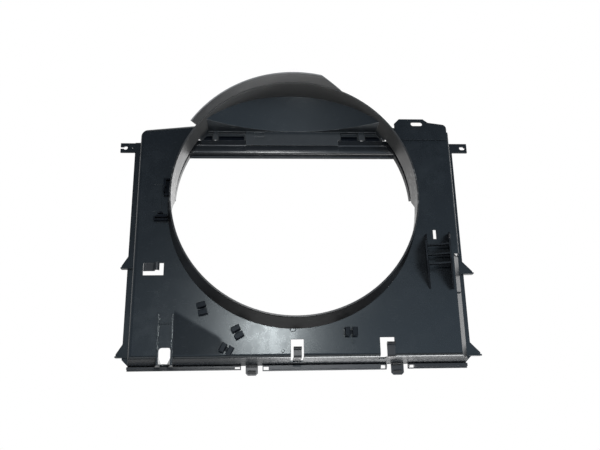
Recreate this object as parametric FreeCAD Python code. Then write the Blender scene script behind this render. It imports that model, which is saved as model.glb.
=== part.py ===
"""Radiator fan shroud: the ducted cowl between a radiator core and an engine-driven fan.

Frame: X to the right, Z up, -Y towards the engine and +Y towards the radiator, in millimetres.
The origin is the centre of the fan opening, in the plane of its engine-side rim.
"""
import FreeCAD
import Part
import math
import os

V = FreeCAD.Vector

# ---- driving dimensions (mm) -------------------------------------------------------------------
WALL = 3.0                  # wall of the mouldings
SEAT = 0.3                  # clearance between separate pieces
OVER = 1.0                  # how far a cutting tool passes its target

# fan opening
FAN_RADIUS = 230.5
RIM_DEPTH = 6.0             # straight stretch of the rim, all round
RELIEF = 0.6                # the throat and the visor stand back from the rim by this much
THROAT_DEPTH = 57.0         # depth of the upper half's throat behind the rim plane
THROAT_END_Z = -36.0        # where the throat's tapered ends meet the rim
COLLAR_GROW = 2.5           # radius of the collar's foot beyond the ring
COLLAR_DROP = 14.0          # how far the collar's foot is set down
COLLAR_SIDE = -3.0          # and to the left

# panel
FACE_Y = 25.0               # front face of the panel, behind the rim plane
DEPTH = 65.0                # front face to radiator face
COLUMN_LEFT = 62.5          # from the ring to the left edge of the face
COLUMN_RIGHT = 74.5
FOOT_BAND = 66.5            # from the ring to the bottom edge of the face
TOP_LEFT_DROP = 94.5        # the top edge's left corner lies this far below the ring's crown
TOP_RIGHT_DROP = 94.0
TOP_RING_DROP = 83.5        # and the top edge where it meets the ring
SIDE_DRAFT = 13.0           # the side walls spread by this much from face to flange
TOP_DRAFT = 7.0
BOTTOM_DRAFT = 9.0
EDGE_ROUND = 7.0            # rounded front edges
CORNER_ROUND = 14.0         # upper left corner
FLANGE_THICK = 4.0
FLANGE_WIDTH = 10.5
CORNER_CUT = 13.0           # chamfer of the flange's lower corners
BEVEL_WIDTH = 11.0          # bevel along the lower right edge, seen from the front
BEVEL_DEPTH = 20.0
BEVEL_TOP = -112.0
RIB_HEIGHT = 10.0           # stiffening ribs on the panel's back
RIB_THICK = 2.0

# visor
VISOR_REACH = 36.0
VISOR_FROM = 77.0           # degrees, right end at the lip
VISOR_FOOT = 66.0           # degrees, right end at the rim
VISOR_TO = 146.5            # degrees, left end at the lip
VISOR_END = 143.8           # degrees, left end at the rim
LIP_HEIGHT = 1.0
LIP_DEPTH = 8.0

# hood
LEDGE_DROP = 77.5           # from the ring's crown to the ledge below the bowed back wall
FOOT_DROP = 95.5            # to the hood's foot on the header rail
APRON_HEIGHT = 12.0         # its middle stretch reaches lower, in front of the rail
APRON_LEFT = -95.0
APRON_RIGHT = 92.0
FOOT_Y = 66.0               # front of the hood's flat foot
HOOD_BOW = 50.0             # the back wall is this much nearer to the engine at its ends
HOOD_LEAN = 9.0             # and at its top
HOOD_SHIFT = 6.0            # its deepest place is this far to the right of the middle
POCKET_DEPTH = 8.0
POCKET_SIDES = {"left": ((2.5, 24.5), (33.0, 89.0)), "right": ((51.0, 88.5), (4.5, 38.5))}
MARK_DEPTH = 1.6            # shallow recesses in the apron

FACE_BACK = FACE_Y + WALL
BACK_Y = FACE_Y + DEPTH
FLANGE_Y = BACK_Y - FLANGE_THICK
RING_OUT = FAN_RADIUS + WALL
THROAT_RADIUS = FAN_RADIUS + RELIEF
FACE_LEFT = -(RING_OUT + COLUMN_LEFT)
FACE_RIGHT = RING_OUT + COLUMN_RIGHT
FACE_BOTTOM = -(RING_OUT + FOOT_BAND)
REAR_LEFT = FACE_LEFT - SIDE_DRAFT
REAR_RIGHT = FACE_RIGHT + SIDE_DRAFT
REAR_BOTTOM = FACE_BOTTOM - BOTTOM_DRAFT
FLANGE_LEFT = REAR_LEFT - FLANGE_WIDTH
FLANGE_RIGHT = REAR_RIGHT + FLANGE_WIDTH
TOP_LEFT_OUTER = RING_OUT - TOP_LEFT_DROP
TOP_RIGHT_OUTER = RING_OUT - TOP_RIGHT_DROP
TOP_INNER = RING_OUT - TOP_RING_DROP
LEDGE_Z = RING_OUT - LEDGE_DROP
HOOD_BOTTOM = RING_OUT - FOOT_DROP
APRON_BOTTOM = HOOD_BOTTOM - APRON_HEIGHT
FAR = 3.0 * RING_OUT        # past the whole part, for tools that keep one side of it


# ---- small builders ----------------------------------------------------------------------------
def box(x0, x1, y0, y1, z0, z1):
    return Part.makeBox(x1 - x0, y1 - y0, z1 - z0, V(x0, y0, z0))


def disc(radius, y0, y1, x=0.0, z=0.0):
    """Cylinder along Y."""
    return Part.makeCylinder(radius, y1 - y0, V(x, y0, z), V(0, 1, 0))


def tube(r_in, r_out, y0, y1, x=0.0, z=0.0):
    return disc(r_out, y0, y1, x, z).cut(disc(r_in, y0 - OVER, y1 + OVER, x, z))


def prism_y(points, y0, y1):
    """Polygon in X, Z drawn out along Y."""
    wire = Part.makePolygon([V(x, y0, z) for x, z in points + points[:1]])
    return Part.Face(wire).extrude(V(0, y1 - y0, 0))


def prism_x(points, x0, x1):
    """Polygon in Y, Z drawn out along X."""
    wire = Part.makePolygon([V(x0, y, z) for y, z in points + points[:1]])
    return Part.Face(wire).extrude(V(x1 - x0, 0, 0))


def prism_z(points, z0, z1):
    """Polygon in X, Y drawn out along Z."""
    wire = Part.makePolygon([V(x, y, z0) for x, y in points + points[:1]])
    return Part.Face(wire).extrude(V(0, 0, z1 - z0))


def frustum(y0, front, y1, back):
    """Flat-sided solid between two outlines in X, Z whose sides are parallel."""
    near = [V(x, y0, z) for x, z in front]
    far = [V(x, y1, z) for x, z in back]
    loops = [near, far]
    for i in range(len(near)):
        j = (i + 1) % len(near)
        loops.append([near[i], near[j], far[j], far[i]])
    faces = [Part.Face(Part.makePolygon(loop + loop[:1])) for loop in loops]
    return Part.makeSolid(Part.makeShell(faces))


def circle(radius, y, x, z):
    return Part.Wire(Part.makeCircle(radius, V(x, y, z), V(0, 1, 0)))


def polar(radius, degrees):
    a = math.radians(degrees)
    return radius * math.cos(a), radius * math.sin(a)


def chord(radius, z):
    """Half the width of a circle about the origin at height z."""
    return math.sqrt(radius * radius - z * z)


def wedge(start, end, reach, y0, y1):
    """Sector of a disc between two angles, used to keep part of a ring."""
    steps = max(2, int((end - start) / 30.0) + 1)
    rim = [polar(reach, start + (end - start) * i / steps) for i in range(steps + 1)]
    return prism_y([(0.0, 0.0)] + rim, y0, y1)


def one(shape):
    """The single solid of a shape, with leftover seams removed."""
    clean = shape.removeSplitter()
    assert len(clean.Solids) == 1, len(clean.Solids)
    return clean.Solids[0]


def round_edges(solid, radius, chosen):
    """Fillet of the edges whose middle passes the test."""
    return solid.makeFillet(radius, [edge for edge in solid.Edges if chosen(edge.CenterOfMass)])


# ---- panel -------------------------------------------------------------------------------------
def top_line(x, draft):
    """Height of the sloping top edge at x, parallel to itself at every depth."""
    span = RING_OUT * 0.8
    if x < 0:
        share = (-x - span) / (-FACE_LEFT - span)
        height = TOP_INNER + (TOP_LEFT_OUTER - TOP_INNER) * share
    else:
        share = (x - span) / (FACE_RIGHT - span)
        height = TOP_INNER + (TOP_RIGHT_OUTER - TOP_INNER) * share
    return height + TOP_DRAFT * draft


def panel_outline(inset, draft):
    """The panel's outline in X, Z: draft 0 at the face and 1 at the flange."""
    left = FACE_LEFT - SIDE_DRAFT * draft + inset
    right = FACE_RIGHT + SIDE_DRAFT * draft - inset
    low = FACE_BOTTOM - BOTTOM_DRAFT * draft + inset
    span = RING_OUT * 0.8
    return [(left, low), (right, low), (right, top_line(right, draft) - inset),
            (span, top_line(span, draft) - inset), (-span, top_line(-span, draft) - inset),
            (left, top_line(left, draft) - inset)]


def upper_left(middle):
    """Whether an edge of the panel's block or hollow runs back along its upper left corner."""
    return middle.x < FACE_LEFT + SIDE_DRAFT and middle.z > 0


def bevel(inset):
    """What the bevel along the lower right edge takes away; inset moves it into the panel."""
    slope = BEVEL_WIDTH / BEVEL_DEPTH
    edge = FACE_RIGHT - BEVEL_WIDTH - inset * math.sqrt(1.0 + slope * slope)
    far = 2.0 * BEVEL_DEPTH
    pts = [(edge - OVER * slope, FACE_Y - OVER), (edge + far * slope, FACE_Y + far),
           (edge + far * slope, FACE_Y - OVER)]
    return prism_z(pts, REAR_BOTTOM - OVER, BEVEL_TOP)


def panel_block():
    """The panel as if it were solid, with its front edges rounded."""
    solid = frustum(FACE_Y, panel_outline(0, 0), BACK_Y, panel_outline(0, 1))
    solid = round_edges(solid, CORNER_ROUND, upper_left)
    solid = round_edges(solid, EDGE_ROUND, lambda m: abs(m.y - FACE_Y) < 0.01)
    return solid.cut(bevel(0.0))


def panel_hollow():
    """The space inside the panel, open towards the radiator."""
    start = WALL / DEPTH
    past = 1.0 + OVER / DEPTH
    hollow = frustum(FACE_BACK, panel_outline(WALL, start), BACK_Y + OVER, panel_outline(WALL, past))
    hollow = round_edges(hollow, CORNER_ROUND - WALL, upper_left)
    return hollow.cut(bevel(WALL))


def flange():
    """Flat border against the radiator at both sides, with cut lower corners."""
    top = TOP_LEFT_OUTER
    pts = [(FLANGE_LEFT, REAR_BOTTOM + CORNER_CUT), (FLANGE_LEFT + CORNER_CUT, REAR_BOTTOM),
           (FLANGE_RIGHT - CORNER_CUT, REAR_BOTTOM), (FLANGE_RIGHT, REAR_BOTTOM + CORNER_CUT),
           (FLANGE_RIGHT, top), (FLANGE_LEFT, top)]
    return prism_y(pts, FLANGE_Y, BACK_Y)


EAR_REACH = {"left": 11.5, "right": 18.0}
EAR_LEDGE = 7.0             # height of the flat foot's end
EAR_RISE = 20.0             # height of the sloping gusset above it
EAR_DEPTH = 12.0
EAR_UPPER = {"left": -125.5, "right": -139.5}
EAR_LOWER = {"left": 16.5, "right": 12.5}    # above the panel's bottom edge


def ear(side, foot):
    """Bearing ledge with a sloping gusset over it, on the edge of the flange."""
    sign = -1.0 if side == "left" else 1.0
    edge = FLANGE_LEFT if side == "left" else FLANGE_RIGHT
    tip = edge + sign * EAR_REACH[side]
    shelf = foot + EAR_LEDGE
    gusset = prism_y([(edge - sign * OVER, foot), (tip, foot), (tip, shelf),
                      (edge - sign * OVER, shelf + EAR_RISE)], FLANGE_Y, BACK_Y)
    inner = edge - sign * (FLANGE_WIDTH + SIDE_DRAFT)
    ledge = box(min(tip, inner), max(tip, inner), BACK_Y - EAR_DEPTH, BACK_Y, foot, foot + WALL)
    return gusset.fuse(ledge)


TAB_REACH = {"left": 29.5, "right": 32.0}
TAB_DROP = {"left": 21.0, "right": 19.5}    # a tab's foot lies below the top edge's corner
TAB_Z = {"left": TOP_LEFT_OUTER - TAB_DROP["left"], "right": TOP_RIGHT_OUTER - TAB_DROP["right"]}
TAB_HEIGHT = 20.0
TAB_HOLE_RADIUS = 4.2
TAB_HOLE_INSET = 10.0       # from the tab's end to its hole
TAB_MOUTH = 4.4             # width of the left hole's side opening
PIN_HOLE_RADIUS = 1.2
PIN_HOLE_INSET = 24.0
SLOT_RADIUS = 3.8
SLOT_LENGTH = 11.0


def slot_cut(x, z, radius, length, y0, y1):
    """Round-ended slot along X."""
    half = length / 2.0 - radius
    ends = disc(radius, y0, y1, x - half, z).fuse(disc(radius, y0, y1, x + half, z))
    return ends.fuse(box(x - half, x + half, y0, y1, z - radius, z + radius))


def tab_left():
    x0 = FLANGE_LEFT - TAB_REACH["left"]
    z0 = TAB_Z["left"]
    mid = z0 + TAB_HEIGHT / 2.0
    tab = box(x0, FACE_LEFT, FLANGE_Y, BACK_Y, z0, z0 + TAB_HEIGHT)
    hole = disc(TAB_HOLE_RADIUS, FLANGE_Y - OVER, BACK_Y + OVER, x0 + TAB_HOLE_INSET, mid)
    mouth = box(x0 - OVER, x0 + TAB_HOLE_INSET, FLANGE_Y - OVER, BACK_Y + OVER,
                mid - TAB_MOUTH / 2.0, mid + TAB_MOUTH / 2.0)
    pin_hole = disc(PIN_HOLE_RADIUS, FLANGE_Y - OVER, BACK_Y + OVER, x0 + PIN_HOLE_INSET, mid)
    return tab.cut(hole).cut(mouth).cut(pin_hole)


def tab_right():
    x1 = FLANGE_RIGHT + TAB_REACH["right"]
    z0 = TAB_Z["right"]
    mid = z0 + TAB_HEIGHT / 2.0
    tab = box(FACE_RIGHT, x1, FLANGE_Y, BACK_Y, z0, z0 + TAB_HEIGHT)
    return tab.cut(slot_cut(x1 - TAB_HOLE_INSET, mid, SLOT_RADIUS, SLOT_LENGTH,
                            FLANGE_Y - OVER, BACK_Y + OVER))


LEFT_WINDOW_INSET = 18.0    # from the face's left edge
LEFT_WINDOW_WIDTH = 37.0
CENTRE_WINDOW_RISE = 31.0   # above the face's bottom edge
CENTRE_WINDOW_DEPTH = 38.0
RIGHT_WINDOW_INSET = 133.0  # from the face's right edge
RIGHT_WINDOW_WIDTH = 26.0
RIGHT_WINDOW_RISE = 33.0
RIGHT_WINDOW_DEPTH = 22.0
# windows in the panel, each with a spring hook standing in it: x0, x1, z0, z1, depth of the cut
WINDOW_LEFT = FACE_LEFT + LEFT_WINDOW_INSET
WINDOW_RIGHT = FACE_RIGHT - RIGHT_WINDOW_INSET
WINDOWS = {"left": (WINDOW_LEFT, WINDOW_LEFT + LEFT_WINDOW_WIDTH, -151.0, -128.0, WALL + OVER),
           "centre": (-11.0, 12.0, REAR_BOTTOM, FACE_BOTTOM + CENTRE_WINDOW_RISE, CENTRE_WINDOW_DEPTH),
           "right": (WINDOW_RIGHT - RIGHT_WINDOW_WIDTH, WINDOW_RIGHT, REAR_BOTTOM,
                     FACE_BOTTOM + RIGHT_WINDOW_RISE, RIGHT_WINDOW_DEPTH)}
CRADLE_SLOT_INSET = 41.0    # from the face's right edge
CRADLE_SLOT_WIDTH = 6.0
CRADLE_SLOT = (FACE_RIGHT - CRADLE_SLOT_INSET - CRADLE_SLOT_WIDTH, FACE_RIGHT - CRADLE_SLOT_INSET, -84.0, -66.0)

# drain opening at the lower left: a notch in face and bottom wall that narrows to the rear
DRAIN_INSET = 63.5          # from the face's left edge to the notch's middle
DRAIN_RISE = 18.5
DRAIN_WIDTH = 21.0
DRAIN_END_WIDTH = 11.0
DRAIN_ROUND = 5.0
DRAIN_LEAN = 9.0            # the notch runs to the left by this much on its way to the rear
DRAIN_END = 9.0             # from the notch's rear end to the radiator face
DRAIN_X = FACE_LEFT + DRAIN_INSET
DRAIN_TOP = FACE_BOTTOM + DRAIN_RISE
DRAIN_END_Y = BACK_Y - DRAIN_END


def drain_cut():
    half = DRAIN_WIDTH / 2.0
    end = DRAIN_END_WIDTH / 2.0
    x1 = DRAIN_X - DRAIN_LEAN
    pts = [(DRAIN_X - half, FACE_Y - OVER), (DRAIN_X + half, FACE_Y - OVER), (DRAIN_X + half, FACE_Y + WALL),
           (x1 + end, DRAIN_END_Y), (x1 - end, DRAIN_END_Y), (DRAIN_X - half, FACE_Y + WALL)]
    notch = prism_z(pts, REAR_BOTTOM - OVER, FACE_BOTTOM + WALL + OVER)
    face = box(DRAIN_X - half, DRAIN_X + half, FACE_Y - OVER, FACE_BACK + OVER, FACE_BOTTOM, DRAIN_TOP)
    face = round_edges(face, DRAIN_ROUND, lambda m: m.z > DRAIN_TOP - 0.01 and abs(m.x - DRAIN_X) > half - 0.01)
    return notch.fuse(face)


def collar_foot(inset):
    """The collar's foot circle: radius and centre, at the panel's face."""
    return RING_OUT + COLLAR_GROW - inset, COLLAR_SIDE, -COLLAR_DROP


def back_ribs():
    """Stiffening ribs on the back of the two columns and under the opening."""
    ribs = []
    y1 = FACE_BACK + RIB_HEIGHT
    for z in (-RING_OUT / 4.0, -RING_OUT * 0.8):
        ribs.append(box(FACE_LEFT + WALL, -RING_OUT / 2.0, FACE_BACK, y1, z, z + RIB_THICK))
        ribs.append(box(RING_OUT / 2.0, FACE_RIGHT - WALL, FACE_BACK, y1, z, z + RIB_THICK))
    for x in (-RING_OUT / 4.0, RING_OUT / 4.0):
        ribs.append(box(x, x + RIB_THICK, FACE_BACK, y1, FACE_BOTTOM, -RING_OUT / 2.0))
    radius, x, z = collar_foot(0.0)
    clear = disc(radius + WALL, FACE_Y, BACK_Y, x, z)
    return [rib.cut(clear) for rib in ribs]


PAD_HEIGHT = 0.8            # raised pad and moulding marks on the face
PAD_INSET = 29.0
PAD_WIDTH = 16.5
PAD_X = (FACE_LEFT + PAD_INSET, FACE_LEFT + PAD_INSET + PAD_WIDTH)
PAD_Z = (-29.0, 25.0)
PIPS = ((-25.0, FACE_BOTTOM + 10.5), (101.0, FACE_BOTTOM + 25.5))
PIP_RADIUS = 2.6
GATE_X = -7.0
GATE_DROP = 17.0            # gate mark below the ring
GATE_RADIUS = 5.5


def face_marks():
    """Raised pad beside the cable guide, two ejector pips and the ring of the gate mark."""
    marks = [box(PAD_X[0], PAD_X[1], FACE_Y - PAD_HEIGHT, FACE_Y, PAD_Z[0], PAD_Z[1])]
    marks += [disc(PIP_RADIUS, FACE_Y - 2.0 * PAD_HEIGHT, FACE_Y, x, z) for x, z in PIPS]
    marks.append(tube(GATE_RADIUS - PAD_HEIGHT, GATE_RADIUS, FACE_Y - PAD_HEIGHT, FACE_Y,
                      GATE_X, -RING_OUT - GATE_DROP))
    return marks


def shroud_panel():
    hollow = panel_hollow()
    solid = panel_block().cut(hollow)
    rim = flange().cut(hollow)
    solid = solid.fuse([rim, tab_left().cut(hollow), tab_right().cut(hollow)])
    ears = [ear(side, foot).cut(hollow) for side in EAR_REACH
            for foot in (EAR_UPPER[side], FACE_BOTTOM - BOTTOM_DRAFT + EAR_LOWER[side])]
    solid = solid.fuse(ears + back_ribs() + face_marks())
    solid = solid.cut(disc(RING_OUT, FACE_Y - EDGE_ROUND, BACK_Y + OVER))
    radius, x, z = collar_foot(0.0)
    solid = solid.cut(disc(radius, FACE_Y - OVER, FACE_BACK + OVER, x, z))
    for x0, x1, z0, z1, depth in WINDOWS.values():
        solid = solid.cut(box(x0, x1, FACE_Y - OVER, FACE_Y + depth, z0, z1))
    x0, x1, z0, z1 = CRADLE_SLOT
    solid = solid.cut(box(x0, x1, FACE_Y - OVER, FACE_BACK + OVER, z0, z1))
    return one(solid.cut(drain_cut()))


# ---- hood --------------------------------------------------------------------------------------
def bow(grow):
    """Leaning upright cylinder whose far side is the front of the hood's bowed back wall."""
    half = chord(THROAT_RADIUS, LEDGE_Z)
    radius = (half * half + HOOD_BOW * HOOD_BOW) / (2.0 * HOOD_BOW)
    rise = RING_OUT - LEDGE_Z
    lean = V(0, -HOOD_LEAN, rise)
    reach = radius * lean.Length / rise
    start = V(HOOD_SHIFT, FOOT_Y - OVER - reach, LEDGE_Z).sub(lean)
    return Part.makeCylinder(radius + grow, 3.0 * lean.Length, start, lean)


def pocket_ranges():
    """X ranges of the four pockets, measured from the ends of the hood's foot."""
    half = chord(THROAT_RADIUS, HOOD_BOTTOM)
    left = [(near - half, far - half) for near, far in POCKET_SIDES["left"]]
    return left + [(half - far, half - near) for near, far in POCKET_SIDES["right"]]


def apron_marks():
    """Shallow double recess and blind pinhole in the hood's foot."""
    x0 = APRON_LEFT + 17.0
    x1 = x0 + 20.0
    low = HOOD_BOTTOM + 1.0
    step = 9.5
    cuts = [box(x0, x1, FOOT_Y - OVER, FOOT_Y + MARK_DEPTH, low + i * step, low + i * step + 6.5) for i in (0, 1)]
    return cuts + [disc(PIN_HOLE_RADIUS, FOOT_Y - OVER, FOOT_Y + MARK_DEPTH, APRON_RIGHT - 15.0, LEDGE_Z - 2.0)]


def fan_hood():
    """Back of the throat above the radiator: a bowed wall on a ledge, over a flat foot with pockets."""
    foot_back = FOOT_Y + WALL
    top = LEDGE_Z + WALL
    bore = disc(THROAT_RADIUS, 0.0, BACK_Y + DEPTH)
    round_block = disc(RING_OUT, 0.0, BACK_Y + DEPTH)
    front = bow(0.0)
    wall = bow(WALL).common(bore).common(box(-FAR, FAR, 0.0, BACK_Y, LEDGE_Z, FAR))
    ledge = bore.common(box(-FAR, FAR, 0.0, foot_back, LEDGE_Z, top))
    foot = bore.common(box(-FAR, FAR, FOOT_Y, foot_back, HOOD_BOTTOM, top))
    sides = round_block.cut(bore).common(box(-FAR, FAR, THROAT_DEPTH, foot_back, HOOD_BOTTOM, top))
    apron = box(APRON_LEFT, APRON_RIGHT, FOOT_Y, foot_back, APRON_BOTTOM, HOOD_BOTTOM)
    hood = wall.fuse(ledge).cut(front).fuse([foot, sides, apron])
    pocket_back = FOOT_Y + POCKET_DEPTH
    for x0, x1 in pocket_ranges():
        case = box(x0 - WALL, x1 + WALL, FOOT_Y, pocket_back + WALL, HOOD_BOTTOM, top)
        hood = hood.fuse(case.common(round_block))
    for x0, x1 in pocket_ranges():
        room = box(x0, x1, FOOT_Y - OVER, pocket_back, HOOD_BOTTOM - OVER, LEDGE_Z - OVER)
        hood = hood.cut(room.common(bore))
    for mark in apron_marks():
        hood = hood.cut(mark)
    return one(hood)


# ---- fan ring and visor ------------------------------------------------------------------------
def collar():
    """Lower half of the ring's outside, flaring from the rim down to the panel's face."""
    def cone(inset):
        radius, x, z = collar_foot(inset)
        top = RING_OUT - inset
        slope = Part.makeLoft([circle(top, RIM_DEPTH, 0.0, 0.0), circle(radius, FACE_Y, x, z)], True, True)
        return slope.fuse(disc(radius, FACE_Y, FACE_BACK, x, z))

    lower = box(-FAR, FAR, 0, BACK_Y, -FAR, 0)
    return cone(0.0).cut(cone(WALL)).cut(disc(THROAT_RADIUS, 0.0, BACK_Y)).common(lower)


def fan_ring():
    rim = tube(FAN_RADIUS, RING_OUT, 0.0, RIM_DEPTH)
    keep = prism_x([(RIM_DEPTH, THROAT_END_Z), (THROAT_DEPTH, 0.0), (THROAT_DEPTH, FAR), (RIM_DEPTH, FAR)],
                   -FAR, FAR)
    throat = tube(THROAT_RADIUS, RING_OUT, RIM_DEPTH, THROAT_DEPTH).common(keep)
    behind_wall = box(-FAR, FAR, 0.0, BACK_Y, LEDGE_Z + WALL, FAR).cut(bow(WALL))
    return one(rim.fuse([throat.cut(behind_wall), collar()]))


def fan_visor():
    """Curved peak standing forward of the rim over the top of the fan."""
    shell = tube(THROAT_RADIUS + LIP_HEIGHT, RING_OUT, -VISOR_REACH, 0.0)
    lip = tube(THROAT_RADIUS, RING_OUT, -VISOR_REACH, LIP_DEPTH - VISOR_REACH)
    band = shell.fuse(lip).common(wedge(VISOR_FOOT, VISOR_TO, 2.0 * RING_OUT, -VISOR_REACH, 0.0))
    # both ends run back aslant from the lip to the rim
    lip_x = polar(RING_OUT, VISOR_FROM)[0]
    foot_x = polar(RING_OUT, VISOR_FOOT)[0]
    right = prism_z([(lip_x, -VISOR_REACH), (foot_x + OVER, 0.0), (FAR, 0.0), (FAR, -VISOR_REACH - OVER),
                     (lip_x, -VISOR_REACH - OVER)], 0.0, FAR)
    lip_z = polar(RING_OUT, VISOR_TO)[1]
    foot_z = polar(RING_OUT, VISOR_END)[1]
    left = prism_x([(-VISOR_REACH, lip_z), (0.0, foot_z), (0.0, 0.0), (-VISOR_REACH - OVER, 0.0),
                    (-VISOR_REACH - OVER, lip_z)], -FAR, 0.0)
    return one(band.cut(right).cut(left))


# ---- header rail -------------------------------------------------------------------------------
HEADER_Y = FOOT_Y + WALL + SEAT             # front of its upper stretch, behind the apron
HEADER_TOP = HOOD_BOTTOM - SEAT
GROOVE = 3.0                # groove between the upper stretch and the bar
BAR_Y = FOOT_Y + 1.0        # front of the bar
BAR_DROP = 1.4              # the bar's top lies below the apron
BAR_HEIGHT = 11.6
SILL_DEPTH = 4.0
SILL_RISE = 2.5             # slope of the underside from bar to sill
SILL_HEIGHT = 4.0
BAR_TOP = APRON_BOTTOM - BAR_DROP
BAR_LOW = BAR_TOP - BAR_HEIGHT
SILL_Y = BACK_Y - SILL_DEPTH
HEADER_BOTTOM = BAR_LOW - SILL_RISE - SILL_HEIGHT
BAR_PAD = 1.0               # the bar stands proud by this much below the apron
LEG_GAP = 1.0               # between the ring's outside and the rail's legs
LEG_THICK = 4.0
LEG_DEPTH = 14.0
LEG_END_Z = 14.0


def header_section():
    """Section of the rail in Y, Z: down its front and up its back."""
    groove_z = BAR_TOP + GROOVE
    front = [(HEADER_Y, HEADER_TOP), (HEADER_Y, groove_z), (HEADER_Y + GROOVE, groove_z - GROOVE / 2.0),
             (HEADER_Y + GROOVE, BAR_TOP + GROOVE / 4.0), (BAR_Y, BAR_TOP), (BAR_Y, BAR_LOW),
             (SILL_Y, BAR_LOW - SILL_RISE), (SILL_Y, HEADER_BOTTOM)]
    back = [(BACK_Y, HEADER_BOTTOM), (BACK_Y, BAR_LOW), (BAR_Y + WALL, BAR_LOW + WALL),
            (BAR_Y + WALL, BAR_TOP - WALL), (HEADER_Y + GROOVE + WALL, BAR_TOP),
            (HEADER_Y + GROOVE + WALL, groove_z + GROOVE / 2.0), (HEADER_Y + WALL, groove_z + GROOVE),
            (HEADER_Y + WALL, HEADER_TOP - WALL), (BACK_Y, HEADER_TOP - WALL), (BACK_Y, HEADER_TOP)]
    return front + back


def header_rail():
    """Stepped rail across the back of the shroud, with a curved leg behind each side of the ring."""
    rail = prism_x(header_section(), REAR_LEFT, REAR_RIGHT)
    pad = box(APRON_LEFT, APRON_RIGHT, BAR_Y - BAR_PAD, BAR_Y + OVER, BAR_LOW + BAR_PAD, BAR_TOP - BAR_PAD / 2.0)
    inner = RING_OUT + LEG_GAP
    legs = tube(inner, inner + LEG_THICK, BACK_Y - LEG_DEPTH, BACK_Y)
    legs = legs.common(box(-FAR, FAR, 0, BACK_Y, LEG_END_Z, BAR_LOW))
    return one(rail.fuse([pad, legs]).common(panel_hollow()))


SNAP_HEIGHT = 10.0
SNAP_THICK = 4.0
SNAP_SIDE = 2.5             # from a snap finger to its pocket's side


def hood_snaps():
    """Four snap fingers that stand on the header rail in the pockets of the hood's foot."""
    y0 = HEADER_Y
    y1 = y0 + SNAP_THICK
    section = [(y0, HEADER_TOP), (y1, HEADER_TOP), (y1, HEADER_TOP + SNAP_HEIGHT),
               (y0 + SNAP_THICK / 2.0, HEADER_TOP + SNAP_HEIGHT), (y0, HEADER_TOP + SNAP_HEIGHT / 2.0)]
    room = disc(THROAT_RADIUS - SNAP_SIDE, 0.0, BACK_Y)
    fingers = [prism_x(section, x0 + SNAP_SIDE, x1 - SNAP_SIDE) for x0, x1 in pocket_ranges()]
    return Part.makeCompound([finger.common(room).Solids[0] for finger in fingers])


# ---- bottom edge -------------------------------------------------------------------------------
BEAD = 2.0                  # radius of a spring tongue's rolled root
LATCH_RIGHT_INSET = 107.0   # from the face's right edge
LATCH_RIGHT_WIDTH = 23.5
LATCH_RIGHT = FACE_RIGHT - LATCH_RIGHT_INSET
LATCHES = {"left": (-92.5, -70.0), "right": (LATCH_RIGHT - LATCH_RIGHT_WIDTH, LATCH_RIGHT)}
LATCH_DROP = {"left": 18.0, "right": 20.0}  # below the panel's rear bottom edge
LATCH_SET_IN = 4.5          # from the latch's middle to the radiator face
LATCH_Y = BACK_Y - LATCH_SET_IN
LATCH_THICK = 3.0
LATCH_CUT = 4.0             # cut corners of the latch
LATCH_PIVOT = REAR_BOTTOM - SEAT - BEAD
BARB_LOW = 3.0
BARB_TIP = 7.5
BARB_TOP = 9.0
STRIP_TOP = REAR_BOTTOM - SEAT
STRIP_DEPTH = 10.0
STRIP_Y = BACK_Y - STRIP_DEPTH
STRIP_GAP = 8.5             # between a strip's end and a latch
STRIP_FRAME = 1.8           # frame around a strip's square windows
STRIP_LIP = 3.0             # height of the thin lower lip
STRIP_STEP = 4.0            # the lip stands back by this much
STRIP_SPANS = {"left": (REAR_LEFT, LATCHES["left"][0] - STRIP_GAP),
               "middle": (LATCHES["left"][1] + STRIP_GAP, LATCHES["right"][0] - STRIP_GAP),
               "right": (LATCHES["right"][1] + STRIP_GAP, REAR_RIGHT)}
STRIP_DROP = {"left": 7.5, "middle": 10.0, "right": 9.0}
STRIP_WINDOW = 9.5          # width of a strip's window
STRIP_WINDOW_ENDS = {"left": ("high",), "middle": ("low", "high"), "right": ("low",)}


def bottom_strip(side):
    """Edge strip under the panel, with a square window beside each latch."""
    x0, x1 = STRIP_SPANS[side]
    low = REAR_BOTTOM - STRIP_DROP[side]
    strip = box(x0, x1, STRIP_Y, BACK_Y, low, STRIP_TOP)
    strip = strip.cut(box(x0 - OVER, x1 + OVER, STRIP_Y - OVER, STRIP_Y + STRIP_STEP, low - OVER,
                          low + STRIP_LIP))
    starts = {"low": x0 + STRIP_FRAME, "high": x1 - STRIP_FRAME - STRIP_WINDOW}
    for end in STRIP_WINDOW_ENDS[side]:
        strip = strip.cut(box(starts[end], starts[end] + STRIP_WINDOW, STRIP_Y - OVER, BACK_Y + OVER,
                              low + STRIP_FRAME, STRIP_TOP - STRIP_FRAME))
    return one(strip)


def bottom_latch(side):
    """Snap tongue below the bottom edge; it flexes about its rolled root."""
    x0, x1 = LATCHES[side]
    low = REAR_BOTTOM - LATCH_DROP[side]
    face = LATCH_Y - LATCH_THICK / 2.0
    blade = prism_y([(x0, LATCH_PIVOT), (x0, low + LATCH_CUT), (x0 + LATCH_CUT, low), (x1 - LATCH_CUT, low),
                     (x1, low + LATCH_CUT), (x1, LATCH_PIVOT)], face, face + LATCH_THICK)
    root = Part.makeCylinder(BEAD, x1 - x0, V(x0, LATCH_Y, LATCH_PIVOT), V(1, 0, 0))
    barb = prism_x([(face, low + BARB_LOW), (face - LATCH_THICK, low + BARB_TIP), (face, low + BARB_TOP)],
                   x0 + LATCH_CUT, x1 - LATCH_CUT)
    return one(blade.fuse([root, barb]))


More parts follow.
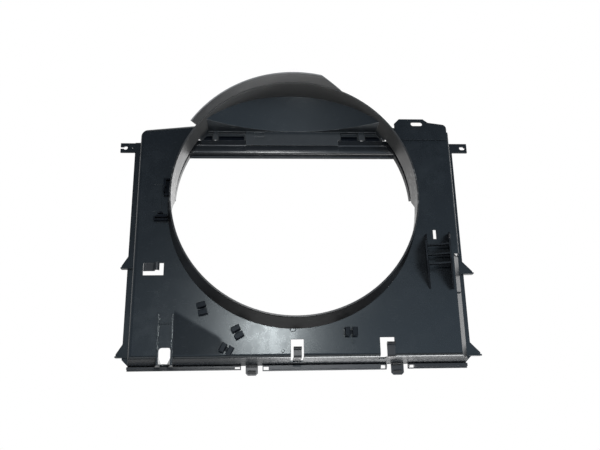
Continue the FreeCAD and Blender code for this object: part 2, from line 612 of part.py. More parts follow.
# ---- spring hooks in the windows ---------------------------------------------------------------
HOOK_THICK = 2.0
HOOK_ROLL = 5.0             # outer radius of the rolled end
HOOK_WIDTH = 14.5
HOOK_PROUD = 4.5            # the floor hooks reach this far out of the face
FLOOR_HOOK_RISE = {"centre": 14.0, "right": 21.0}
FLOOR_HOOK_X = {"centre": WINDOWS["centre"][0] + 4.5, "right": WINDOWS["right"][1] - SEAT - HOOK_WIDTH}
FLOOR_HOOK_Z = FACE_BOTTOM - 1.5
SIDE_HOOK_RUN = 20.0
SIDE_HOOK_RISE = 6.0
SIDE_HOOK_X = WINDOWS["left"][0] + SEAT + BEAD
SIDE_HOOK_Y = FACE_Y + BEAD
SIDE_HOOK_Z = WINDOWS["left"][3] - SEAT - HOOK_WIDTH


def tongue(run, rise):
    """Profile in local axes: root at the origin, along +X, then up +Z to a rolled end; width along Y."""
    def plate(x0, x1, z0, z1):
        return box(x0, x1, 0.0, HOOK_WIDTH, z0, z1)

    def ring(x, z, keep):
        bar = Part.makeCylinder(HOOK_ROLL, HOOK_WIDTH, V(x, 0, z), V(0, 1, 0))
        core = Part.makeCylinder(HOOK_ROLL - HOOK_THICK, HOOK_WIDTH, V(x, 0, z), V(0, 1, 0))
        return bar.cut(core).common(keep)

    half = HOOK_THICK / 2.0
    root = Part.makeCylinder(BEAD, HOOK_WIDTH, V(0, 0, 0), V(0, 1, 0))
    pieces = [root, plate(0.0, run - HOOK_ROLL, -half, half)]
    centre_z = HOOK_ROLL - half
    pieces.append(ring(run - HOOK_ROLL, centre_z, plate(run - HOOK_ROLL, run, -half, centre_z)))
    pieces.append(plate(run - HOOK_THICK, run, centre_z, rise))
    pieces.append(ring(run - HOOK_THICK + HOOK_ROLL, rise,
                       plate(run - HOOK_THICK, run + 2.0 * HOOK_ROLL, rise, rise + HOOK_ROLL)))
    return one(pieces[0].fuse(pieces[1:]))


def floor_hook_y(side):
    """Depth of a floor hook's rolled root, just inside the end of its window's cut."""
    return FACE_Y + WINDOWS[side][4] - SEAT - BEAD


def hose_hook(side):
    """Spring tongue in a window: it flexes about its rolled root and grips a hose."""
    if side == "left":
        hook = tongue(SIDE_HOOK_RUN, SIDE_HOOK_RISE)
        # local X stays X, local Z turns towards the engine, the width runs up
        hook = hook.rotated(V(0, 0, 0), V(1, 0, 0), 90)
        return hook.translated(V(SIDE_HOOK_X, SIDE_HOOK_Y, SIDE_HOOK_Z))
    y = floor_hook_y(side)
    hook = tongue(y - FACE_Y + HOOK_PROUD, FLOOR_HOOK_RISE[side])
    # local X turns towards the engine and the width runs along X
    hook = hook.rotated(V(0, 0, 0), V(0, 0, 1), -90)
    return hook.translated(V(FLOOR_HOOK_X[side], y, FLOOR_HOOK_Z))


# ---- clips and guides on the face --------------------------------------------------------------
CLIP_LENGTH = 16.0          # along the wire
CLIP_GAP = 4.0              # mouth between the jaws
CLIP_JAW = 9.5              # width of each jaw, across the wire
CLIP_HEIGHT = 12.0
CLIP_WALL = 2.2
CLIP_FOOT = 1.2             # thickness of the foot that joins the jaws
# distance from the ring, direction from the fan's centre, turn of the jaws (degrees)
WIRE_CLIPS = {"a": (38.5, -128.3, 14.0), "b": (43.0, -112.4, 28.0),
              "c": (41.5, -69.4, 90.0), "d": (78.0, -113.5, 62.0)}


def clip_place(name):
    gap, direction, turn = WIRE_CLIPS[name]
    x, z = polar(RING_OUT + gap, direction)
    return x, z, turn


def wire_clip(name):
    """Two curled jaws facing each other over a wire, on one foot."""
    x, z, turn = clip_place(name)
    near = CLIP_GAP / 2.0
    far = near + CLIP_JAW
    inner = far - CLIP_WALL
    top = FACE_Y - CLIP_HEIGHT
    under = top + CLIP_WALL
    jaw = [(FACE_Y, inner), (FACE_Y, far), (top + CLIP_WALL / 2.0, far), (top, far - CLIP_WALL / 2.0),
           (top, near + CLIP_WALL / 2.0), (top + CLIP_WALL / 2.0, near), (under + CLIP_WALL, near),
           (under, near + CLIP_WALL), (under, inner)]
    half = CLIP_LENGTH / 2.0
    upper = prism_x([(y, z + w) for y, w in jaw], x - half, x + half)
    lower = prism_x([(y, z - w) for y, w in jaw], x - half, x + half)
    foot = box(x - half / 2.0, x + half / 2.0, FACE_Y - CLIP_FOOT, FACE_Y, z - inner, z + inner)
    return one(foot.fuse([upper, lower]).rotated(V(x, 0, z), V(0, 1, 0), -turn))


GUIDE_HEIGHT = 14.0
GUIDE_WALL = 2.5
GUIDE_WIDTH = 13.0
GUIDE_Z = (0.5, 33.0)
GUIDE_LIP = 5.0


def cable_guide_upper():
    """Open box beside the ring, with a lip over its mouth."""
    x1 = -RING_OUT - SEAT
    x0 = x1 - GUIDE_WIDTH
    z0, z1 = GUIDE_Z
    y0 = FACE_Y - GUIDE_HEIGHT
    mid = (z0 + z1) / 2.0
    walls = [box(x0, x1, FACE_Y - GUIDE_WALL, FACE_Y, z0, z1),
             box(x0, x1, y0, FACE_Y, z1 - GUIDE_WALL, z1),
             box(x0, x0 + GUIDE_WALL, y0, FACE_Y, z0 + 2.0 * GUIDE_WALL, z1),
             box(x0, x1, y0 + GUIDE_LIP, FACE_Y, z0, z0 + GUIDE_WALL),
             box(x0, x0 + GUIDE_LIP, y0, y0 + GUIDE_WALL, mid, z1),
             box(x1 - GUIDE_WALL, x1, y0 + GUIDE_LIP, FACE_Y, z0, mid)]
    return one(walls[0].fuse(walls[1:]))


CHANNEL_REACH = 32.5        # the lower guide's length from the ring
CHANNEL_Z = (-49.0, -37.5)
CHANNEL_HEIGHT = 11.0
CHANNEL_HOOK = 9.0


def cable_guide_lower():
    """Narrow trough from the column's middle to the collar, with a hook over its upper side."""
    low, high = CHANNEL_Z
    radius, foot_x, foot_z = collar_foot(-SEAT)
    x1 = -chord(RING_OUT, high)
    x0 = x1 - CHANNEL_REACH
    y0 = FACE_Y - CHANNEL_HEIGHT
    trough = prism_y([(x0, low), (x1, low), (x1, high), (x0 + CHANNEL_HOOK, high),
                      (x0, high - GUIDE_LIP)], y0, FACE_Y)
    room = box(x0 + GUIDE_WALL, x1 + OVER, y0 - OVER, FACE_Y - GUIDE_WALL, low + GUIDE_WALL, high - GUIDE_LIP)
    mid = x0 + CHANNEL_REACH / 2.0
    post = box(mid - CHANNEL_HOOK, mid, FACE_Y - GUIDE_WALL, FACE_Y, high, high + GUIDE_LIP)
    stem = box(mid - CHANNEL_HOOK, mid, y0, FACE_Y, high + GUIDE_LIP - GUIDE_WALL, high + GUIDE_LIP)
    return one(trough.cut(room).fuse([post, stem]).cut(disc(radius, 0.0, BACK_Y, foot_x, foot_z)))


FIN_REACH = 42.0
FIN_THICK = 3.0
FIN_PITCH = 42.0            # between the two fins
FIN_RIGHT = 20.0            # from the right fin to the panel's right edge
FIN_TURN = -16.0            # degrees, both fins lean towards the ring
FIN_TOP = -74.0
FIN_SLOPE = 24.0            # drop of a fin's top edge to its front
FIN_FRONT = 36.0            # height of its front edge
FIN_LENGTH = 106.0
BARS = ((-104.0, 25.0), (-121.0, 21.0), (-140.0, 27.0))    # height and distance from the face
BAR_WIDTH = 8.0
BAR_THICK = 3.0


def connector_cradle():
    """Two tapering fins joined by three bars, which hold a connector."""
    right = FACE_RIGHT - FIN_RIGHT
    left = right - FIN_PITCH
    root = FACE_Y + FIN_REACH / 2.0
    tip = FACE_Y - FIN_REACH
    side = [(root, FIN_TOP), (FACE_Y, FIN_TOP), (tip, FIN_TOP - FIN_SLOPE),
            (tip, FIN_TOP - FIN_SLOPE - FIN_FRONT), (FACE_Y, FIN_TOP - FIN_LENGTH), (root, FIN_TOP - FIN_LENGTH)]
    parts = [prism_x(side, x, x + FIN_THICK) for x in (left, right)]
    for z, reach in BARS:
        y0 = FACE_Y - reach
        parts.append(box(left, right + FIN_THICK, y0, y0 + BAR_WIDTH, z, z + BAR_THICK))
    cradle = parts[0].fuse(parts[1:])
    cradle = cradle.rotated(V(left, FACE_Y, 0), V(0, 0, 1), FIN_TURN)
    return one(cradle.cut(box(-FAR, FAR, FACE_Y, BACK_Y, -FAR, FAR)))


PLATE_WIDTH = 104.0
PLATE_LOW = 20.0            # below the panel's upper right corner
PLATE_SIDE = 12.0           # height of its right side above that corner
PLATE_RISE = 24.5           # height of the raised end
PLATE_NECK = 36.0           # from the right side to the foot of the raised end
PLATE_STEP = 10.0
PLATE_INSET = 4.0
PLATE_ROUND = 9.0
PLATE_SLOT = (59.0, 14.0, 4.2, 23.0)         # from the right edge, above the corner, radius, length


def corner_plate():
    """Mounting plate over the upper right corner, with a slot for an adjustable fixing."""
    x1 = FACE_RIGHT - PLATE_INSET
    x0 = x1 - PLATE_WIDTH
    z = TOP_RIGHT_OUTER
    left_low = chord(RING_OUT, z - PLATE_LOW) + SEAT
    pts = [(max(x0, left_low), z - PLATE_LOW), (x1, z - PLATE_LOW), (x1, z + PLATE_SIDE),
           (x1 - PLATE_NECK, z + PLATE_SIDE + PLATE_STEP / 2.0),
           (x1 - PLATE_NECK - PLATE_STEP, z + PLATE_RISE),
           (x0 + PLATE_STEP, z + PLATE_RISE), (x0, z + PLATE_RISE - PLATE_STEP)]
    plate = prism_y(pts, FACE_Y - WALL, FACE_Y)
    plate = round_edges(plate, PLATE_ROUND, lambda m: m.x > x1 - 0.01 and m.z > z)
    offset, rise, radius, length = PLATE_SLOT
    plate = plate.cut(disc(RING_OUT + SEAT, 0.0, BACK_Y))
    return one(plate.cut(slot_cut(x1 - offset, z + rise, radius, length, FACE_Y - WALL - OVER, FACE_Y + OVER)))


CHANNEL_RIBS = (-14.5, 10.0)                 # ribs of the drain channel, from the notch's centre
CHANNEL_RISE = 78.0         # their top above the face's bottom edge
CROSSBAR_RISE = 60.0
CHANNEL_TOP = FACE_BOTTOM + CHANNEL_RISE
CROSSBAR_Z = FACE_BOTTOM + CROSSBAR_RISE
RIB_PROUD = 5.0
CHEEK_FRONT = 3.5           # width of the cheeks beside the notch at the face
CHEEK_REAR = 12.0
CHEEK_PROUD = 3.0           # they stand out of the face and below the bottom wall by this much
CHEEK_DROP = 3.0            # their top lies below the notch's top
CHEEK_TOP = DRAIN_TOP - CHEEK_DROP


def drain_guide():
    """Channel of two ribs and a crossbar, and a cheek along each side of the drain notch."""
    half = DRAIN_WIDTH / 2.0
    end = DRAIN_END_WIDTH / 2.0
    rear_x = DRAIN_X - DRAIN_LEAN
    rear_y = STRIP_Y - OVER
    front_y = FACE_Y - CHEEK_PROUD
    low = REAR_BOTTOM - CHEEK_PROUD
    block = panel_block()
    cheeks = []
    for sign in (-1.0, 1.0):
        near = DRAIN_X + sign * half
        back = rear_x + sign * end
        pts = [(near, front_y), (near + sign * CHEEK_FRONT, front_y),
               (back + sign * CHEEK_REAR, rear_y), (back, rear_y), (near, FACE_BACK)]
        cheeks.append(prism_z(pts, low, CHEEK_TOP).cut(block))
    y0 = FACE_Y - RIB_PROUD
    ribs = [box(DRAIN_X + x, DRAIN_X + x + RIB_THICK, y0, FACE_Y, CHEEK_TOP - OVER, CHANNEL_TOP)
            for x in CHANNEL_RIBS]
    bar = box(DRAIN_X + CHANNEL_RIBS[0], DRAIN_X + CHANNEL_RIBS[1] + RIB_THICK, y0 + RIB_THICK, FACE_Y,
              CROSSBAR_Z, CROSSBAR_Z + RIB_THICK)
    return one(bar.fuse(ribs + cheeks))


def build():
    """Every node by name."""
    nodes = {"shroud_panel": shroud_panel(), "fan_ring": fan_ring(), "fan_visor": fan_visor(),
             "fan_hood": fan_hood(), "header_rail": header_rail(), "hood_snaps": hood_snaps(),
             "cable_guide_upper": cable_guide_upper(), "cable_guide_lower": cable_guide_lower(),
             "connector_cradle": connector_cradle(), "corner_plate": corner_plate(),
             "drain_guide": drain_guide()}
    for side in STRIP_SPANS:
        nodes["bottom_strip_" + side] = bottom_strip(side)
    for side in LATCHES:
        nodes["bottom_latch_" + side] = bottom_latch(side)
    for side in WINDOWS:
        nodes["hose_hook_" + side] = hose_hook(side)
    for name in WIRE_CLIPS:
        nodes["wire_clip_" + name] = wire_clip(name)
    return nodes


if __name__ == "__main__":
    os.makedirs("parts", exist_ok=True)
    for node, shape in build().items():
        print(node, len(shape.Solids), round(shape.Volume), shape.isValid())
        shape.exportStep("parts/" + node + ".step")
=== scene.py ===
"""Radiator fan shroud in a white studio: materials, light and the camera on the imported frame."""
import bpy
import bmesh
import math
from mathutils import Matrix, Vector

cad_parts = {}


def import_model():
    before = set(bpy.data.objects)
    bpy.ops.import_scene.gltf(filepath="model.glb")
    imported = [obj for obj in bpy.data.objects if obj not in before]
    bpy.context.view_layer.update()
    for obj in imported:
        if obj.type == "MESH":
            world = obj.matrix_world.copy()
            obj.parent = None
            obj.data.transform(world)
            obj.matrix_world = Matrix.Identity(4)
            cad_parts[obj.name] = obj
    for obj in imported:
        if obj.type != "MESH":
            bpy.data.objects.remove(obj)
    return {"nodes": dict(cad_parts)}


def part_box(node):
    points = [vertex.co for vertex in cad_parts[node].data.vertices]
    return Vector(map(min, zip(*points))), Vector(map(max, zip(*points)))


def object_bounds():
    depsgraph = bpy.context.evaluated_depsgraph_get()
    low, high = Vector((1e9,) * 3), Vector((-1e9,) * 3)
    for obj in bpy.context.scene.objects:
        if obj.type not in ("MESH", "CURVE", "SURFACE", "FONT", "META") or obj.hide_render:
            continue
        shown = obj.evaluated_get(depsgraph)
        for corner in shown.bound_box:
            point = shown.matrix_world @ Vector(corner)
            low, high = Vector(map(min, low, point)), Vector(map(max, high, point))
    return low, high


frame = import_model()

CAD_BOX = [list(corner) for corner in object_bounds()]
NODES = frame["nodes"]
scene = bpy.context.scene
WHITE = (1.0, 1.0, 1.0)


# ---- node trees --------------------------------------------------------------------------------
class Tree:
    """A node tree with short calls for the nodes that the plastics and the studio share."""

    def __init__(self, tree):
        self.tree = tree

    def node(self, kind, **settings):
        made = self.tree.nodes.new(kind)
        for key, value in settings.items():
            setattr(made, key, value)
        return made

    def link(self, source, target):
        self.tree.links.new(source, target)

    def feed(self, socket, value):
        """Set a socket to a number or a colour, or link another node's output to it."""
        if isinstance(value, float):
            socket.default_value = value
        elif isinstance(value, tuple):
            socket.default_value = (*value, 1.0)
        else:
            self.link(value, socket)

    def ramp(self, value, low, high, start=0.0, end=1.0):
        """Value from low..high mapped to start..end and held there."""
        made = self.node("ShaderNodeMapRange", clamp=True, interpolation_type="SMOOTHSTEP")
        for key, number in (("From Min", low), ("From Max", high), ("To Min", start), ("To Max", end)):
            made.inputs[key].default_value = number
        self.link(value, made.inputs["Value"])
        return made.outputs["Result"]

    def math(self, operation, a, b):
        made = self.node("ShaderNodeMath", operation=operation)
        for socket, value in zip(made.inputs, (a, b)):
            self.feed(socket, value)
        return made.outputs["Value"]

    def product(self, a, b):
        return self.math("MULTIPLY", a, b)

    def coordinate(self, vector, axis):
        """X, Y or Z of a vector."""
        split = self.node("ShaderNodeSeparateXYZ")
        self.link(vector, split.inputs["Vector"])
        return split.outputs[axis]

    def background(self, colour, strength):
        made = self.node("ShaderNodeBackground")
        self.feed(made.inputs["Color"], colour)
        self.feed(made.inputs["Strength"], strength)
        return made.outputs["Background"]

    def blend(self, factor, a, b):
        """Shader a where the factor is 0 and shader b where it is 1."""
        made = self.node("ShaderNodeMixShader")
        self.link(factor, made.inputs["Fac"])
        self.link(a, made.inputs[1])
        self.link(b, made.inputs[2])
        return made.outputs["Shader"]


class Shader(Tree):
    """A material's node tree, with the calls that only the materials need."""

    def __init__(self, name):
        self.material = bpy.data.materials.new(name)
        self.material.use_nodes = True
        super().__init__(self.material.node_tree)
        self.bsdf = self.tree.nodes["Principled BSDF"]
        self.place = self.node("ShaderNodeTexCoord").outputs["Object"]

    def where(self, axis):
        """One coordinate of the place on the object, in metres."""
        return self.coordinate(self.place, axis)

    def stretched(self, scale, turn):
        mapping = self.node("ShaderNodeMapping")
        mapping.inputs["Scale"].default_value = scale
        mapping.inputs["Rotation"].default_value = turn
        self.link(self.place, mapping.inputs["Vector"])
        return mapping.outputs["Vector"]

    def noise(self, scale, detail, rough, vector=None, distortion=0.0):
        made = self.node("ShaderNodeTexNoise")
        made.inputs["Scale"].default_value = scale
        made.inputs["Detail"].default_value = detail
        made.inputs["Roughness"].default_value = rough
        made.inputs["Distortion"].default_value = distortion
        self.link(self.place if vector is None else vector, made.inputs["Vector"])
        return made.outputs["Fac"]

    def mix(self, factor, a, b):
        """Colour a where the factor is 0 and colour b where it is 1."""
        made = self.node("ShaderNodeMix", data_type="RGBA")
        colours = [s for s in made.inputs if s.type == "RGBA"]
        self.link(factor, made.inputs["Factor"])
        for socket, value in zip(colours, (a, b)):
            self.feed(socket, value)
        return [s for s in made.outputs if s.type == "RGBA"][0]

    def rounded(self, radius):
        """Normal that rounds the sharp edges off, and how far it leans: 1 on the edge, 0 on the flats."""
        bevel = self.node("ShaderNodeBevel", samples=6)
        bevel.inputs["Radius"].default_value = radius
        geometry = self.node("ShaderNodeNewGeometry")
        dot = self.node("ShaderNodeVectorMath", operation="DOT_PRODUCT")
        self.link(bevel.outputs["Normal"], dot.inputs[0])
        self.link(geometry.outputs["Normal"], dot.inputs[1])
        return bevel.outputs["Normal"], self.ramp(dot.outputs["Value"], 0.999, 0.90)

    def bump(self, height, distance, normal, strength):
        made = self.node("ShaderNodeBump")
        made.inputs["Strength"].default_value = strength
        made.inputs["Distance"].default_value = distance
        self.link(height, made.inputs["Height"])
        self.link(normal, made.inputs["Normal"])
        return made.outputs["Normal"]

    def lean(self, normal, amount, direction):
        """Normal turned towards a direction by an amount."""
        push = self.node("ShaderNodeVectorMath", operation="SCALE")
        push.inputs[0].default_value = direction
        self.link(amount, push.inputs["Scale"])
        add = self.node("ShaderNodeVectorMath", operation="ADD")
        self.link(normal, add.inputs[0])
        self.link(push.outputs["Vector"], add.inputs[1])
        unit = self.node("ShaderNodeVectorMath", operation="NORMALIZE")
        self.link(add.outputs["Vector"], unit.inputs[0])
        return unit.outputs["Vector"]


# ---- plastics ----------------------------------------------------------------------------------
PLASTIC_IOR = 1.49
GRAIN = 0.00004             # height of the moulded grain, in metres
DUSTING = 0.5               # share of the dust's colour where it lies thickest
DUST_MATT = 0.05            # roughness that the dust adds there
SCRATCH_MATT = 0.12         # and a scratch
SPECKLE = 0.30              # share of the worn colour in a speck


def moulded(name, base, worn_and_lit, dust, rough, scuffs=0.35, edge=0.0010, swell=0.0006, tint=WHITE, sheen=0.5,
            rub=0.9, wear_and_light_at=None, warp=None):
    """Moulded black plastic: slow swells, fine grain, smudges, scuffs, a film of dust, rubbed edges.

    base, worn and dust are colours. rough is about the roughness where it is clean, edge the radius of a
    sharp edge and swell the height of the swells, in metres. scuffs and rub are the shares of worn
    colour in a scratch and on an edge. tint and sheen are of the reflection. local(s, film) says
    where more of the worn colour is painted, as scuffs and as painted light and highlights, and
    warp(s, normal) bends the surface."""
    s = Shader(name)
    normal, on_edge = s.rounded(edge)
    if warp is not None:
        normal = warp(s, normal)
    cloud = s.noise(7.0, 4.0, 0.55, distortion=0.4)
    film = s.noise(42.0, 5.0, 0.62)
    smudge = s.noise(16.0, 5.0, 0.66, distortion=1.2)
    hair = s.noise(70.0, 2.0, 0.5, s.stretched((1.0, 1.0, 30.0), (0.2, 0.9, 0.3)))
    specks = s.noise(460.0, 2.0, 0.5)

    dusty = s.product(s.ramp(cloud, 0.40, 0.70), s.ramp(film, 0.30, 0.75))
    colour = s.mix(s.product(dusty, DUSTING), base, dust)
    scratch = s.product(s.ramp(hair, 0.67, 0.70), s.ramp(film, 0.50, 0.62))
    colour = s.mix(s.product(scratch, scuffs), colour, worn_and_lit)
    colour = s.mix(s.product(s.ramp(specks, 0.72, 0.78), SPECKLE), colour, worn_and_lit)
    # scuffs, and painted light and painted highlights: more of the worn colour where local says
    if wear_and_light_at is not None:
        colour = s.mix(wear_and_light_at(s, film), colour, worn_and_lit)
    rubbed = s.product(on_edge, s.ramp(film, 0.36, 0.66, rub / 6.0, rub))
    colour = s.mix(rubbed, colour, worn_and_lit)
    s.link(colour, s.bsdf.inputs["Base Color"])

    matt = s.ramp(smudge, 0.30, 0.72, rough - 0.01, rough + 0.02)
    matt = s.math("ADD", matt, s.product(dusty, DUST_MATT))
    matt = s.math("ADD", matt, s.product(scratch, SCRATCH_MATT))
    s.link(matt, s.bsdf.inputs["Roughness"])

    normal = s.bump(s.noise(9.0, 1.0, 0.4), swell, normal, 1.0)
    normal = s.bump(s.noise(1500.0, 2.0, 0.5), GRAIN, normal, 0.5)
    s.link(normal, s.bsdf.inputs["Normal"])
    s.bsdf.inputs["IOR"].default_value = PLASTIC_IOR
    s.bsdf.inputs["Specular IOR Level"].default_value = sheen
    s.bsdf.inputs["Specular Tint"].default_value = (*tint, 1.0)
    return s.material


# heights on the throat's wall, in metres
SCUFFS_START = (-0.045, -0.005)     # the scuffs come in
SCUFFS_END = (0.030, 0.075)         # and fade out
THROAT_PAINTED_LIGHT = (0.04, 0.16)          # painted light: the wall is painted a little paler upwards, where it faces down


def scuffed_and_lit_throat(s, film):
    """Pale scuffs where the throat's lower ends are handled, and painted light: the wall is painted paler
    towards its downward-facing top.
    """
    height = s.where("Z")
    low = s.ramp(height, *SCUFFS_START)
    high = s.ramp(height, SCUFFS_END[1], SCUFFS_END[0])
    fleck = s.ramp(s.noise(120.0, 4.0, 0.7), 0.52, 0.60)
    scuffs = s.product(s.product(low, high), s.product(fleck, 0.85))
    # painted light: paler up the wall, where it faces down; the scuffs are wear
    return s.math("MAXIMUM", scuffs, s.ramp(height, *THROAT_PAINTED_LIGHT, 0.0, 0.20))


CROWN = (0.17, 0.235)       # heights between which the peak is painted paler, painted light
FRONT = (-0.80, -0.95)      # the normal's Y from where a face counts as the peak's cut rim, which carries a painted highlight


def lit_visor(s, film):
    """Painted light: the peak is painted paler towards its crown, and a painted highlight lies along its
    cut rim.
    """
    crown = s.ramp(s.where("Z"), *CROWN, 0.0, 0.14)
    facing = s.coordinate(s.node("ShaderNodeNewGeometry").outputs["Normal"], "Y")
    rim = s.ramp(facing, *FRONT, 0.0, 0.75)
    return s.math("MAXIMUM", crown, s.product(rim, s.ramp(film, 0.25, 0.60, 0.5, 1.0)))


FOOT_TOP = (0.153, 0.147)   # just below the ledge over the hood's foot, downwards


def lit_foot(s, film):
    """Painted light: the hood's foot and apron are painted greyer than the bowed wall above them."""
    return s.ramp(s.where("Z"), *FOOT_TOP, 0.0, 0.18)


LOBE_RADIUS = 0.0245
LOBE_SLOPE = math.radians(30.0)
LOBE_END = 2.2              # lobe radii from its round end's centre to the end of the left strip
LOBE_RISE = 1.2             # and down to the foot of the drain guide
LOBE_SOFT = 0.004           # half the width of its soft edge
LOBE_SIDE = 0.001           # half the width of its hard edge, beside the drain guide
LOBE_TILT = 0.10            # how far its surface leans
CREASE_X = (-0.006, 0.004)  # the crease sets in to the right
CREASE_TOP = (-0.20, -0.24)         # and downwards
CREASE_TILT = 0.018


def sunk_panel(s, normal):
    """The lower face has warped in the mould: a sunken lobe right of the drain channel and a
    faint crease under the middle of the ring."""
    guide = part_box("drain_guide")
    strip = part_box("bottom_strip_left")
    x, z = s.where("X"), s.where("Z")
    # along and across the lobe's upper edge, from the centre of its round end
    dx = s.math("SUBTRACT", x, strip[1][0] - LOBE_RADIUS * LOBE_END)
    dz = s.math("SUBTRACT", z, guide[0][2] + LOBE_RADIUS * LOBE_RISE)
    run, rise = math.cos(LOBE_SLOPE), math.sin(LOBE_SLOPE)
    along = s.math("ADD", s.product(dx, run), s.product(dz, -rise))
    across = s.math("ADD", s.product(dx, rise), s.product(dz, run))
    along, across = s.math("MAXIMUM", along, 0.0), s.math("MAXIMUM", across, 0.0)
    gap = s.math("SQRT", s.math("ADD", s.product(along, along), s.product(across, across)), 0.0)
    lobe = s.ramp(gap, LOBE_RADIUS + LOBE_SOFT, LOBE_RADIUS - LOBE_SOFT)
    lobe = s.product(lobe, s.ramp(x, guide[1][0] - LOBE_SIDE, guide[1][0] + LOBE_SIDE))
    normal = s.lean(normal, s.product(lobe, LOBE_TILT), (-0.5, 0.0, 0.87))
    crease = s.product(s.ramp(x, *CREASE_X), s.ramp(z, *CREASE_TOP))
    return s.lean(normal, s.product(crease, CREASE_TILT), (1.0, 0.0, 0.0))


BAR_DROP = 0.0014           # from the bottom of the hood's apron to the top of the rail's bar
BAR_STEP = 0.001            # from the rail's frontmost place to the bar's front
BAR_FLAT = 0.004            # height of the flat stretch at the top of the bar's front
BAR_HEIGHT = 0.0116
BAR_DEPTH = 0.011
BAR_OVER = 0.45             # how far the bar's front leans downwards at its lower edge
BAR_NOSE = 4.5              # how far the rail leans forwards at the bar's front


def round_bar(s, normal):
    """The rail's bar, just under the hood's apron, is rounded below: the lamp draws a streak on it."""
    bar_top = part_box("fan_hood")[0][2] - BAR_DROP
    bar_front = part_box("header_rail")[0][1] + BAR_STEP
    over = s.ramp(s.where("Z"), bar_top - BAR_FLAT, bar_top - BAR_HEIGHT, 0.0, BAR_OVER)
    under = s.ramp(s.where("Y"), bar_front, bar_front + BAR_DEPTH, BAR_NOSE, 0.0)
    normal = s.lean(normal, over, (0.0, 0.0, -1.0))
    return s.lean(normal, under, (0.0, -1.0, 0.0))


PANEL = moulded("panel_plastic", base=(0.0050, 0.0062, 0.0080), worn_and_lit=(0.050, 0.053, 0.056),
                dust=(0.013, 0.015, 0.018), rough=0.255, tint=(0.90, 0.98, 1.0), rub=0.3,
                warp=sunk_panel)
RING = moulded("ring_plastic", base=(0.0080, 0.0078, 0.0078), worn_and_lit=(0.130, 0.128, 0.122),
               dust=(0.020, 0.019, 0.018), rough=0.36, scuffs=0.4, rub=0.5, wear_and_light_at=scuffed_and_lit_throat)
HOOD = moulded("hood_plastic", base=(0.0072, 0.0086, 0.0102), worn_and_lit=(0.120, 0.118, 0.114),
               dust=(0.018, 0.020, 0.023), rough=0.40, scuffs=0.4, tint=(0.88, 0.96, 1.0),
               wear_and_light_at=lit_foot)
RAIL = moulded("rail_plastic", base=(0.0050, 0.0058, 0.0070), worn_and_lit=(0.090, 0.092, 0.092),
               dust=(0.011, 0.012, 0.014), rough=0.23, scuffs=0.4, swell=0.0002, rub=0.6,
               warp=round_bar)
CLIP = moulded("clip_plastic", base=(0.0020, 0.0026, 0.0044), worn_and_lit=(0.060, 0.063, 0.066),
               dust=(0.004, 0.005, 0.008), rough=0.36, edge=0.0006, tint=(0.80, 0.92, 1.0), sheen=0.12)
STRIP = moulded("strip_plastic", base=(0.040, 0.042, 0.044), worn_and_lit=(0.180, 0.182, 0.180),
                dust=(0.080, 0.081, 0.080), rough=0.42, edge=0.0007)
EDGING = moulded("edging_plastic", base=(0.0090, 0.0095, 0.0105), worn_and_lit=(0.120, 0.122, 0.122),
                 dust=(0.020, 0.021, 0.022), rough=0.36, edge=0.0007)
# painted light: the peak's plastic is painted paler than the ring's and hood's, standing in for light
# from below on its downward face
VISOR_LIT = moulded("visor_plastic_lit", base=(0.0340, 0.0338, 0.0335), worn_and_lit=(0.220, 0.218, 0.212),
                dust=(0.060, 0.059, 0.058), rough=0.42, scuffs=0.6, wear_and_light_at=lit_visor)

# every other node is a clip, a guide or the connector's cradle, of the clips' plastic
FINISH = {"fan_ring": RING, "fan_visor": VISOR_LIT, "fan_hood": HOOD, "hood_snaps": CLIP, "header_rail": RAIL,
          "shroud_panel": PANEL, "corner_plate": PANEL, "drain_guide": PANEL,
          "bottom_strip_left": EDGING, "bottom_strip_middle": STRIP, "bottom_strip_right": EDGING,
          "bottom_latch_left": EDGING, "bottom_latch_right": EDGING, "hose_hook_left": EDGING,
          "hose_hook_centre": EDGING, "hose_hook_right": EDGING}
for name, obj in NODES.items():
    finish = FINISH.get(name, CLIP)
    for entry in obj.material_slots:
        entry.material = finish
    if not obj.material_slots:
        obj.data.materials.append(finish)

# ---- floor -------------------------------------------------------------------------------------
FLOOR_RADIUS = 2.2
FLOOR_DROP = 0.90           # below the object
FLOOR_GLOW = 0.82           # share of plain white in what the eye sees of it
FLOOR_DULL = 0.75           # part of the floor's light that reflections lose


def floor_paint():
    """Pale paint: to the eye nearly as white as the room, with a faint shade, and dull in reflections."""
    s = Shader("floor_paint")
    pale = s.mix(s.ramp(s.noise(3.0, 3.0, 0.5), 0.3, 0.7), (0.80, 0.80, 0.80), (0.84, 0.84, 0.835))
    s.link(pale, s.bsdf.inputs["Base Color"])
    s.bsdf.inputs["Roughness"].default_value = 0.8
    s.bsdf.inputs["Specular IOR Level"].default_value = 0.1
    path = s.node("ShaderNodeLightPath")
    glow = s.node("ShaderNodeEmission")
    s.link(path.outputs["Is Camera Ray"], glow.inputs["Strength"])
    share = s.math("ADD", s.product(path.outputs["Is Camera Ray"], FLOOR_GLOW),
                   s.product(path.outputs["Is Glossy Ray"], FLOOR_DULL))
    surface = s.blend(share, s.bsdf.outputs["BSDF"], glow.outputs["Emission"])
    s.link(surface, s.tree.nodes["Material Output"].inputs["Surface"])
    return s.material


def floor():
    """Pale disc below the object."""
    mesh = bpy.data.meshes.new("floor")
    shape = bmesh.new()
    bmesh.ops.create_circle(shape, cap_ends=True, radius=FLOOR_RADIUS, segments=96)
    shape.to_mesh(mesh)
    shape.free()
    mesh.materials.append(floor_paint())
    made = bpy.data.objects.new("floor", mesh)
    made.location = (0.0, 0.0, CAD_BOX[0][2] - FLOOR_DROP)
    scene.collection.objects.link(made)


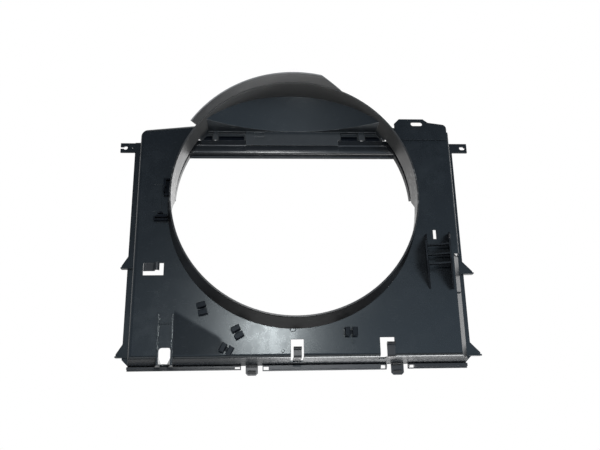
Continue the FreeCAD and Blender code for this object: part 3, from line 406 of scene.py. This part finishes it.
# ---- light -------------------------------------------------------------------------------------
# The world's ranges are of a direction's X (to the right), Y (behind the object) or Z (up).
ROOM_TINT = (0.80, 0.96, 1.14)
ROOM_LOW = (0.05, 0.92)     # height and brightness at the room's foot
ROOM_HIGH = (0.42, 0.15)    # and higher up
ROOM_SPAN = (-0.35, 0.35)   # from the left to the right of the room
ROOM_SIDES = (0.70, 1.30)   # share of the brightness at the left and at the right
BEHIND_FROM = (-0.25, 0.45)         # the room gives way to what is behind the object
BEHIND_SPAN = (-0.60, 0.60)
BEHIND = (0.75, 2.70)       # brightness behind the object, at the left and at the right
BEHIND_END = (0.42, 0.60)
BEHIND_FAR = 0.35           # share of it past that, far out at the right
HORIZON = (-0.30, 0.05)
BEHIND_LOW = 0.20           # share of it below the horizon


def world():
    """White to the eye; for light, bright behind the object and a dim bluish room before it."""
    made = bpy.data.worlds.new("studio")
    made.use_nodes = True
    scene.world = made
    made.node_tree.nodes.clear()
    tree = Tree(made.node_tree)
    direction = tree.node("ShaderNodeTexCoord").outputs["Generated"]
    x, y, z = [tree.coordinate(direction, axis) for axis in "XYZ"]

    height = tree.ramp(z, ROOM_LOW[0], ROOM_HIGH[0], ROOM_LOW[1], ROOM_HIGH[1])
    room = tree.background(ROOM_TINT, tree.product(height, tree.ramp(x, *ROOM_SPAN, *ROOM_SIDES)))
    across = tree.product(tree.ramp(x, *BEHIND_SPAN, *BEHIND), tree.ramp(x, *BEHIND_END, 1.0, BEHIND_FAR))
    behind = tree.background(WHITE, tree.product(across, tree.ramp(z, *HORIZON, BEHIND_LOW, 1.0)))
    light = tree.blend(tree.ramp(y, *BEHIND_FROM), room, behind)
    seen = tree.node("ShaderNodeLightPath").outputs["Is Camera Ray"]
    out = tree.node("ShaderNodeOutputWorld")
    tree.link(tree.blend(seen, light, tree.background(WHITE, 1.0)), out.inputs["Surface"])


def area(name, place, aim, width, height, power):
    """Soft box at a place, facing a point; metres and watts."""
    data = bpy.data.lights.new(name, "AREA")
    data.shape = "RECTANGLE"
    data.size = width
    data.size_y = height
    data.energy = power
    made = bpy.data.objects.new(name, data)
    made.location = place
    made.rotation_euler = (Vector(aim) - Vector(place)).to_track_quat("-Z", "Y").to_euler()
    scene.collection.objects.link(made)


floor()
world()
area("flash", (-0.034, -1.16, -0.092), (-0.018, 0.0, -0.15), 0.07, 0.05, 5.2)
area("low", (0.0, -0.35, -1.15), (0.0, -0.05, 0.0), 1.2, 0.6, 3.0)
area("under", (0.35, 0.60, -0.95), (0.08, 0.0, -0.1), 0.9, 0.5, 13.0)
area("top", (0.1, -0.4, 1.4), (0.0, 0.0, 0.1), 1.2, 0.8, 8.0)
area("back", (0.8, 1.2, 1.3), (0.0, 0.0, 0.0), 1.4, 1.0, 30.0)

# ---- camera ------------------------------------------------------------------------------------
EYE = Vector((-0.0540, -1.1144, -0.4128))
AHEAD = Vector((0.0528, 0.9530, 0.2984)).normalized()
UPWARDS = Vector((0.0016, -0.2989, 0.9543))
SENSOR = 36.0               # mm
LENS = 38.15                # mm
NEAREST = 0.02              # metres


def place_camera():
    """Camera on the engine side, below the opening and looking up at it."""
    right = AHEAD.cross(UPWARDS).normalized()
    up = right.cross(AHEAD).normalized()
    camera = bpy.data.objects.new("camera", bpy.data.cameras.new("camera"))
    camera.data.sensor_width = SENSOR
    camera.data.lens = LENS
    camera.data.clip_start = NEAREST
    turn = Matrix((right, up, -AHEAD)).transposed().to_4x4()
    camera.matrix_world = Matrix.Translation(EYE) @ turn
    scene.collection.objects.link(camera)
    scene.camera = camera


place_camera()
scene.view_settings.view_transform = "Standard"
